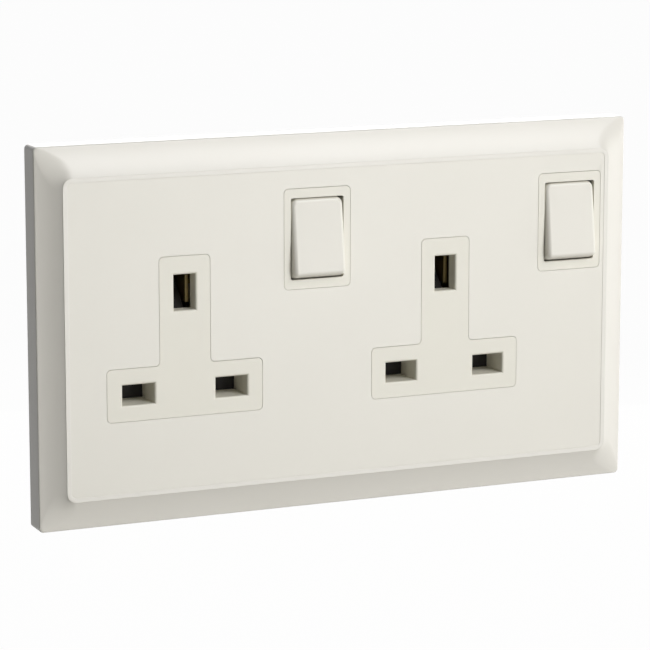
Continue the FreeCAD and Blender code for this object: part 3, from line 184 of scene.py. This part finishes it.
def rolled_brass(name, colours):
    """Cartridge brass strip: rolling lines along it, and a brown tint where air has dulled it."""
    material, tree = new_material(name)
    place = add(tree, "ShaderNodeTexCoord").outputs["Object"]
    # Noise drawn out along X makes the rolling lines, wider than real ones so that they show.
    along = add(tree, "ShaderNodeMapping", {"Scale": (0.06, 1.0, 1.0)}, {"Vector": place})
    lines = add(tree, "ShaderNodeTexNoise", {"Scale": 1 / (0.15 * MM), "Detail": 3.0},
                {"Vector": along.outputs["Vector"]})
    dull = add(tree, "ShaderNodeTexNoise", {"Scale": 1 / (6 * MM), "Detail": 5.0, "Roughness": 0.65},
               {"Vector": place})
    tone = add(tree, "ShaderNodeMix", {"data_type": "RGBA", 6: linear(colours[0]), 7: linear(colours[1])},
               {"Factor": dull.outputs["Fac"]})
    gloss = add(tree, "ShaderNodeMapRange", {"To Min": 0.3, "To Max": 0.44}, {"Value": dull.outputs["Fac"]})
    shader = add(tree, "ShaderNodeBsdfPrincipled", {"Metallic": 1.0},
                 {"Base Color": tone.outputs[2], "Roughness": gloss.outputs["Result"]})
    finish_material(tree, shader, lines.outputs["Fac"], depth=0.004 * MM)
    return material


def zinc_plate(name, colours, spangle):
    """Bright zinc on pressed steel: cool grey, with soft patches a few millimetres across."""
    material, tree = new_material(name)
    place = add(tree, "ShaderNodeTexCoord").outputs["Object"]
    patches = add(tree, "ShaderNodeTexVoronoi", {"Scale": 1 / spangle}, {"Vector": place})
    cloud = add(tree, "ShaderNodeTexNoise", {"Scale": 1 / (spangle * 0.4), "Detail": 4.0},
                {"Vector": place})
    tone = add(tree, "ShaderNodeMix", {"data_type": "RGBA", 6: linear(colours[0]), 7: linear(colours[1])},
               {"Factor": patches.outputs["Distance"]})
    gloss = add(tree, "ShaderNodeMapRange", {"To Min": 0.29, "To Max": 0.42}, {"Value": cloud.outputs["Fac"]})
    shader = add(tree, "ShaderNodeBsdfPrincipled", {"Metallic": 1.0},
                 {"Base Color": tone.outputs[2], "Roughness": gloss.outputs["Result"]})
    finish_material(tree, shader, cloud.outputs["Fac"], depth=0.006 * MM)
    return material


def drawn_wire(name, colour):
    """Spring steel wire: dark grey with the fine draw marks of its die."""
    material, tree = new_material(name)
    place = add(tree, "ShaderNodeTexCoord").outputs["Object"]
    # The marks are drawn wider than a real die's, so that they show.
    marks = add(tree, "ShaderNodeTexNoise", {"Scale": 1 / (0.2 * MM), "Detail": 3.0}, {"Vector": place})
    gloss = add(tree, "ShaderNodeMapRange", {"To Min": 0.29, "To Max": 0.45}, {"Value": marks.outputs["Fac"]})
    shader = add(tree, "ShaderNodeBsdfPrincipled", {"Metallic": 1.0, "Base Color": linear(colour)},
                 {"Roughness": gloss.outputs["Result"]})
    finish_material(tree, shader, marks.outputs["Fac"], depth=0.003 * MM)
    return material


def seen_plainly(tree):
    """Output for floor and world: 1 for a camera ray, a reflection or a clear surface, else 0."""
    path = add(tree, "ShaderNodeLightPath")
    seen = add(tree, "ShaderNodeMath", {"operation": "MAXIMUM"},
               {0: path.outputs["Is Camera Ray"], 1: path.outputs["Is Glossy Ray"]})
    clear = add(tree, "ShaderNodeMath", {"operation": "MAXIMUM"},
                {0: seen.outputs["Value"], 1: path.outputs["Is Transmission Ray"]})
    return clear.outputs["Value"]


def white_to_camera(name, colour):
    """Plain pale surface that keeps shadows and shows white where nothing falls on it."""
    material, tree = new_material(name)
    paint = add(tree, "ShaderNodeBsdfDiffuse", {"Color": linear(colour)})
    glow = add(tree, "ShaderNodeEmission", {"Color": linear("#ffffff"), "Strength": 1.0})
    share = add(tree, "ShaderNodeMath", {"operation": "MULTIPLY", 1: FLOOR_GLOW}, {0: seen_plainly(tree)})
    mixed = add(tree, "ShaderNodeMixShader", links={
        0: share.outputs["Value"], 1: paint.outputs["BSDF"], 2: glow.outputs["Emission"]})
    add(tree, "ShaderNodeOutputMaterial", links={"Surface": mixed.outputs["Shader"]})
    return material


def new_object(name, data):
    """A new object in the scene, made of a camera, a lamp or a mesh."""
    thing = bpy.data.objects.new(name, data)
    bpy.context.scene.collection.objects.link(thing)
    return thing


def set_camera():
    """Camera at the photograph's angle: to the left of the plate and a little above it."""
    data = bpy.data.cameras.new("camera")
    data.lens = CAMERA_LENS
    data.clip_start = 10 * MM
    data.clip_end = 50.0
    camera = new_object("camera", data)
    turn = math.radians(CAMERA_TURN)
    dip = math.radians(CAMERA_DIP)
    camera.location = CAMERA_PLACE
    camera.rotation_euler = (math.pi / 2 - dip, 0.0, -turn)
    bpy.context.scene.camera = camera


def set_lamps():
    """Soft lamps that face the plate's middle."""
    for name, (place, size, power) in LAMPS.items():
        data = bpy.data.lights.new(name, "AREA")
        data.shape = "RECTANGLE"
        data.size, data.size_y = size
        data.energy = power
        lamp = new_object(name, data)
        lamp.location = place
        lamp.rotation_euler = (-Vector(place)).to_track_quat("-Z", "Y").to_euler()


def set_world():
    """Even room light, and a white background for the camera and for reflections."""
    world = bpy.data.worlds.new("room")
    world.use_nodes = True
    tree = world.node_tree
    tree.nodes.clear()
    level = add(tree, "ShaderNodeMix", {"data_type": "FLOAT", 2: ROOM_LIGHT, 3: 1.0},
                {"Factor": seen_plainly(tree)})
    glow = add(tree, "ShaderNodeBackground", {"Color": linear("#ffffff")}, {"Strength": level.outputs[0]})
    add(tree, "ShaderNodeOutputWorld", links={"Surface": glow.outputs["Background"]})
    bpy.context.scene.world = world


def set_floor():
    """Pale floor far below the plate."""
    half = FLOOR_SIZE / 2
    corners = [(-half, -half, -FLOOR_DROP), (half, -half, -FLOOR_DROP),
               (half, half, -FLOOR_DROP), (-half, half, -FLOOR_DROP)]
    mesh = bpy.data.meshes.new("floor")
    mesh.from_pydata(corners, [], [(0, 1, 2, 3)])
    floor = new_object("floor", mesh)
    mesh.materials.append(white_to_camera("pale_floor", "#dedcd6"))


def outline(corners, radius, grow=0.0):
    """Points round a polygon of right-angled corners, grown outwards, with its corners rounded.

    The radius is one number, or a list with one for each corner.
    """
    count = len(corners)
    radii = radius if isinstance(radius, list) else [radius] * count
    points = []
    for index, corner in enumerate(corners):
        corner = Vector(corner)
        way_in = (corner - Vector(corners[index - 1])).normalized()
        way_out = (Vector(corners[(index + 1) % count]) - corner).normalized()
        turn = way_in.x * way_out.y - way_in.y * way_out.x
        bend = radii[index] + grow * turn
        middle = corner + (way_out - way_in) * bend
        middle += Vector((way_in.y + way_out.y, -way_in.x - way_out.x)) * grow
        for step in range(CORNER_STEPS + 1):
            angle = step / CORNER_STEPS * math.pi / 2
            points.append(middle + way_in * (bend * math.sin(angle)) - way_out * (bend * math.cos(angle)))
    return points


def rectangle(width, height, radius, middle=(0.0, 0.0)):
    """Points round a rectangle with round corners."""
    left, right = middle[0] - width / 2, middle[0] + width / 2
    low, high = middle[1] - height / 2, middle[1] + height / 2
    return outline([(left, low), (right, low), (right, high), (left, high)], radius)


def disc(radius):
    """Points round a circle."""
    turns = [2 * math.pi * step / CIRCLE_STEPS for step in range(CIRCLE_STEPS)]
    return [(radius * math.cos(turn), radius * math.sin(turn)) for turn in turns]


def ring(shape, points, front):
    """Adds a closed ring of points that all lie one distance in front of the wall."""
    return [shape.verts.new((across * MM, -front * MM, up * MM)) for across, up in points]


def sleeve(shape, rings):
    """Joins rings of equal count, each to the next, by bands of four-sided faces."""
    for first, second in zip(rings, rings[1:]):
        for index in range(len(first)):
            after = (index + 1) % len(first)
            shape.faces.new((first[index], first[after], second[after], second[index]))


def lid(shape, *rings):
    """Fills the flat face inside the first ring and outside the others."""
    edges = []
    for points in rings:
        for index, point in enumerate(points):
            pair = (points[index - 1], point)
            edges.append(shape.edges.get(pair) or shape.edges.new(pair))
    bmesh.ops.triangle_fill(shape, use_beauty=True, use_dissolve=False, edges=edges)


def rounding(size, steps=EDGE_STEPS):
    """Steps round a quarter turn: how far in from the side, and how far short of the face."""
    turns = [math.pi / 2 * step / steps for step in range(steps + 1)]
    return [(size * (1 - math.cos(turn)), size * (1 - math.sin(turn))) for turn in turns]


def finish_piece(name, shape, body, material, node):
    """Turns a finished shape into the piece that stands for one node of the model."""
    bmesh.ops.recalc_face_normals(shape, faces=shape.faces)
    mesh = bpy.data.meshes.new(name)
    shape.to_mesh(mesh)
    shape.free()
    mesh.materials.append(material)
    mesh.shade_smooth()
    mesh.set_sharp_from_angle(angle=math.radians(SHARP_ANGLE))
    piece = new_object(name, mesh)
    soft = piece.modifiers.new("even_normals", "WEIGHTED_NORMAL")
    soft.keep_sharp = True
    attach(piece, body)
    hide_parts(node)


def border_ring(shape, share, front=None):
    """Ring of the border at a share of the way from the plate's edge up to the rim.

    Its corner radius goes from the plate's, through the border's half way, to the rim's.
    """
    radius = (PLATE_RADIUS * (1 - share) * (1 - 2 * share) + BORDER_RADIUS * 4 * share * (1 - share)
              + RIM_RADIUS * share * (2 * share - 1))
    if front is None:
        front = border_front(share)
    width = PLATE_WIDTH - BORDER_SIDE * 2 * share
    return ring(shape, rectangle(width, PLATE_HEIGHT - BORDER_TOP * 2 * share, radius), front)


def border_front(share):
    """How far the border stands off the wall at that share."""
    rise = RIM_FRONT - RIM_BAND - SIDE_DEPTH
    return SIDE_DEPTH + rise * ((1 - BORDER_HOLLOW) * share + BORDER_HOLLOW * share * share)


def build_surround(material):
    """Surround: one closed skin from the panel's seat over rim and border to the underside."""
    shape = bmesh.new()
    rings = []
    seat_width = OPENING_WIDTH - LEDGE_WIDTH * 2
    seat_height = OPENING_HEIGHT - LEDGE_WIDTH * 2
    rings.append(ring(shape, rectangle(seat_width, seat_height, SMALL_RADIUS), PANEL_BACK))
    rings.append(ring(shape, rectangle(OPENING_WIDTH, OPENING_HEIGHT, OPENING_RADIUS), PANEL_BACK))
    for inset, short in rounding(RIM_INNER_ROUND):
        rings.append(ring(shape, rectangle(OPENING_WIDTH + inset * 2, OPENING_HEIGHT + inset * 2,
                                           OPENING_RADIUS + inset), RIM_FRONT - short))
    for inset, short in reversed(rounding(RIM_OUTER_ROUND)):
        rings.append(ring(shape, rectangle(RIM_OUTER_WIDTH - inset * 2, RIM_OUTER_HEIGHT - inset * 2,
                                           RIM_RADIUS - inset), RIM_FRONT - short))
    for step in range(BORDER_STATIONS + 1):
        share = 1 - (1 - EDGE_SHARE) * step / BORDER_STATIONS
        rings.append(border_ring(shape, share))
    # The plate's edge is a curve from the end of the border's slope round to the side.
    low = SIDE_DEPTH - EDGE_DROP
    high = border_front(EDGE_SHARE)
    for step in range(1, EDGE_STEPS * 2 + 1):
        back = step / (EDGE_STEPS * 2)
        front = high * (1 - back) ** 2 + SIDE_DEPTH * 2 * back * (1 - back) + low * back ** 2
        rings.append(border_ring(shape, EDGE_SHARE * (1 - back) ** 2, front))
    rings.append(border_ring(shape, 0.0, BACK_BEVEL))
    for inset, radius, front in (
            (BACK_BEVEL, PLATE_RADIUS, 0.0), (SHELL_WALL, SMALL_RADIUS, 0.0),
            (SHELL_WALL, SMALL_RADIUS, SHELL_FLOOR), (SHELL_STEP, SMALL_RADIUS, SHELL_FLOOR),
            (SHELL_STEP, SMALL_RADIUS, PANEL_BACK - LEDGE_THICK)):
        outer = rectangle(PLATE_WIDTH - inset * 2, PLATE_HEIGHT - inset * 2, radius)
        rings.append(ring(shape, outer, front))
    rings.append(ring(shape, rectangle(seat_width, seat_height, SMALL_RADIUS), PANEL_BACK - LEDGE_THICK))
    sleeve(shape, rings + rings[:1])
    # At two places above and two below, a catch behind the steel frame and a stop before it.
    for low, high, reach in ((CATCH_LOW, CATCH_HIGH, CATCH_GRIP),
                             (FRAME_FRONT, SHELL_FLOOR, CATCH_GRIP * 2)):
        for across in (-CATCH_SPREAD / 2, CATCH_SPREAD / 2):
            for way in (-1, 1):
                depth = FRAME_MARGIN - SHELL_WALL + reach + CATCH_ROOT
                up = (PLATE_HEIGHT / 2 - SHELL_WALL + CATCH_ROOT - depth / 2) * way
                catch = rectangle(CATCH_WIDTH, depth, SMALL_RADIUS / 2, (across, up))
                ends = [ring(shape, catch, low), ring(shape, catch, high)]
                sleeve(shape, ends)
                lid(shape, ends[0])
                lid(shape, ends[1])
    finish_piece("fine_surround", shape, "root", material, "surround")


def build_front_panel(material):
    """Front panel with finely rounded edges, outside and round each socket face and bezel.

    A loop is its corners, their radius, how far it is grown, and the size of its rounding,
    which is negative where the edge draws in, as it does at the panel's outside.
    """
    shape = bmesh.new()
    width = OPENING_WIDTH - PANEL_GAP * 2
    height = OPENING_HEIGHT - PANEL_GAP * 2
    radius = OPENING_RADIUS - PANEL_GAP
    corners = [(-width / 2, -height / 2), (width / 2, -height / 2),
               (width / 2, height / 2), (-width / 2, height / 2)]
    loops = [(corners, radius, 0.0, -PANEL_EDGE_ROUND)]
    for middle in SOCKETS:
        loops.append((face_corners(middle), FACE_RADIUS, HAIRLINE, PANEL_HOLE_ROUND))
        loops.append((bezel_corners(middle), FACE_RADIUS, HAIRLINE, PANEL_HOLE_ROUND))
    backs = []
    fronts = []
    for points, bend, spread, size in loops:
        rings = [ring(shape, outline(points, bend, spread), PANEL_BACK)]
        for inset, short in rounding(size):
            grown = outline(points, bend, spread + inset)
            rings.append(ring(shape, grown, PANEL_FRONT - abs(short)))
        sleeve(shape, rings)
        backs.append(rings[0])
        fronts.append(rings[-1])
    lid(shape, *backs)
    lid(shape, *fronts)
    finish_piece("fine_front_panel", shape, "root", material, "front_panel")


def face_corners(middle):
    """Corners of the T of one socket face."""
    stem, arm = STEM_WIDTH / 2, ARM_WIDTH / 2
    return [(middle - arm, FACE_BOTTOM), (middle + arm, FACE_BOTTOM), (middle + arm, FACE_SHOULDER),
            (middle + stem, FACE_SHOULDER), (middle + stem, FACE_TOP), (middle - stem, FACE_TOP),
            (middle - stem, FACE_SHOULDER), (middle - arm, FACE_SHOULDER)]


def bezel_corners(middle):
    """Corners of the switch bezel that belongs to one socket."""
    left, right = middle + SWITCH_OFFSET - BEZEL_WIDTH / 2, middle + SWITCH_OFFSET + BEZEL_WIDTH / 2
    low, high = SWITCH_HEIGHT - BEZEL_HEIGHT / 2, SWITCH_HEIGHT + BEZEL_HEIGHT / 2
    return [(left, low), (right, low), (right, high), (left, high)]


def rocker_half_height(front):
    """Half the rocker's height at one distance in front of its hinge, round its curved ends."""
    reach = ROCKER_END_RADIUS - ROCKER_ROUND
    start = ROCKER_FACE - ROCKER_ROUND
    middle = math.sqrt(reach ** 2 - start ** 2)
    if front < start * ROCKER_END_RADIUS / reach:
        return math.sqrt(ROCKER_END_RADIUS ** 2 - front ** 2)
    return middle + math.sqrt(max(ROCKER_ROUND ** 2 - (front - start) ** 2, 0.0))


def build_rocker(side, middle, material):
    """Rocker about its hinge line: curved ends, rounded face, plunger tube and hinge pins."""
    shape = bmesh.new()
    half = (WELL_WIDTH - ROCKER_SIDE_GAP * 2) / 2
    corners = [ROCKER_LOW_CORNER] * 2 + [ROCKER_HIGH_CORNER] * 2
    rings = []
    start = ROCKER_FACE - ROCKER_ROUND
    for step in range(ROCKER_STATIONS):
        front = (start + ROCKER_SKIRT) * step / ROCKER_STATIONS - ROCKER_SKIRT
        points = rectangle(half * 2, rocker_half_height(front) * 2, corners)
        rings.append(ring(shape, points, front))
    for inset, short in rounding(ROCKER_ROUND, ROCKER_STATIONS):
        front = ROCKER_FACE - short
        drawn_in = [radius - inset for radius in corners]
        points = rectangle((half - inset) * 2, rocker_half_height(front) * 2, drawn_in)
        rings.append(ring(shape, points, front))
    sleeve(shape, rings)
    lid(shape, rings[-1])
    room = (ROCKER_END_RADIUS - ROCKER_END_WALL) * 2
    hollow = rectangle((half - ROCKER_WALL) * 2, room, SMALL_RADIUS)
    ceiling = ROCKER_FACE - ROCKER_WALL
    inside = [ring(shape, hollow, -ROCKER_SKIRT), ring(shape, hollow, ceiling)]
    tube = [ring(shape, disc(TUBE_RADIUS), ceiling), ring(shape, disc(TUBE_RADIUS), -TUBE_END)]
    bore = [ring(shape, disc(TUBE_BORE), -TUBE_END), ring(shape, disc(TUBE_BORE), ceiling)]
    sleeve(shape, inside)
    sleeve(shape, tube)
    sleeve(shape, bore)
    lid(shape, rings[0], inside[0])
    lid(shape, inside[1], tube[0])
    lid(shape, tube[1], bore[0])
    lid(shape, bore[1])
    for way in (-1, 1):
        turn = Matrix.Rotation(math.pi / 2, 4, "Y")
        place = Matrix.Translation(((half + WELL_WIDTH / 2 + PIN_REACH) / 2 * way * MM, 0, 0))
        length = WELL_WIDTH / 2 + PIN_REACH - half + PIN_ROOT
        bmesh.ops.create_cone(shape, cap_ends=True, segments=CIRCLE_STEPS, radius1=PIN_RADIUS * MM,
                              radius2=PIN_RADIUS * MM, depth=length * MM, matrix=place @ turn)
    tilt = Matrix.Rotation(math.radians(-ROCKER_TILT), 4, "X")
    hinge = Matrix.Translation(Vector((middle + SWITCH_OFFSET, -HINGE_FRONT, SWITCH_HEIGHT)) * MM)
    shape.transform(hinge @ tilt)
    finish_piece("fine_rocker_" + side, shape, "rocker_" + side, material, "rocker_" + side)


def coat(names, material):
    """Gives one material to each of the named nodes."""
    for name in names:
        slots = nodes[name].data.materials
        slots.clear()
        slots.append(material)


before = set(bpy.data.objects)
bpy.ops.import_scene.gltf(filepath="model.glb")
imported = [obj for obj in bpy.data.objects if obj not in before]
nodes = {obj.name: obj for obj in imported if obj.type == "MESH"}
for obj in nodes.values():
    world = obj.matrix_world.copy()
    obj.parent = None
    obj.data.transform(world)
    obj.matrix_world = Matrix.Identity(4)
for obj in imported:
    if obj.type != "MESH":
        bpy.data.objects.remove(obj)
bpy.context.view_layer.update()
bpy.context.scene.view_settings.view_transform = "Standard"

set_camera()
set_lamps()
set_world()
set_floor()

sides = ("left", "right")
build_surround(moulded_urea("pearl_urea_border", ("#e9e6de", "#e6e3da"), 0.33))
build_front_panel(moulded_urea("pearl_urea_panel", ("#e9e6dc", "#e6e3d9"), 0.34))
coat(["socket_moulding"], moulded_urea("warm_urea_faces", ("#e8e5d9", "#e5e2d5"), 0.36))
rocker_urea = moulded_urea("warm_urea_rockers", ("#edeae1", "#eae7dd"), 0.32)
for side, middle in zip(sides, SOCKETS):
    build_rocker(side, middle, rocker_urea)
coat(["rear_housing"], moulded_nylon("grey_nylon", ("#d8d6d0", "#cfcdc6"), 0.5))
coat(["shutter_" + side for side in sides], moulded_nylon("black_nylon", ("#1c1916", "#141210"), 0.75))
coat(["plunger_" + side for side in sides], moulded_nylon("acetal", ("#e6e6df", "#deded6"), 0.35, 0.2))
brass = rolled_brass("brass_strip", ("#d2bd84", "#a8966a"))
coat(["live_bar", "neutral_bar", "earth_bar"], brass)
coat([name + side for name in ("live_contact_", "moving_contact_") for side in sides], brass)
coat(["terminal_screws"], rolled_brass("turned_brass", ("#dcc07a", "#b79a58")))
coat(["support_frame"], zinc_plate("zinc_plated_sheet", ("#c4c7c9", "#aeb2b5"), 4 * MM))
coat(["housing_screws"], zinc_plate("zinc_plated_screw", ("#c9ccce", "#b6babd"), 1.5 * MM))
springs = [name + side for name in ("plunger_spring_", "shutter_spring_") for side in sides]
coat(springs, drawn_wire("spring_steel", "#8f9193"))
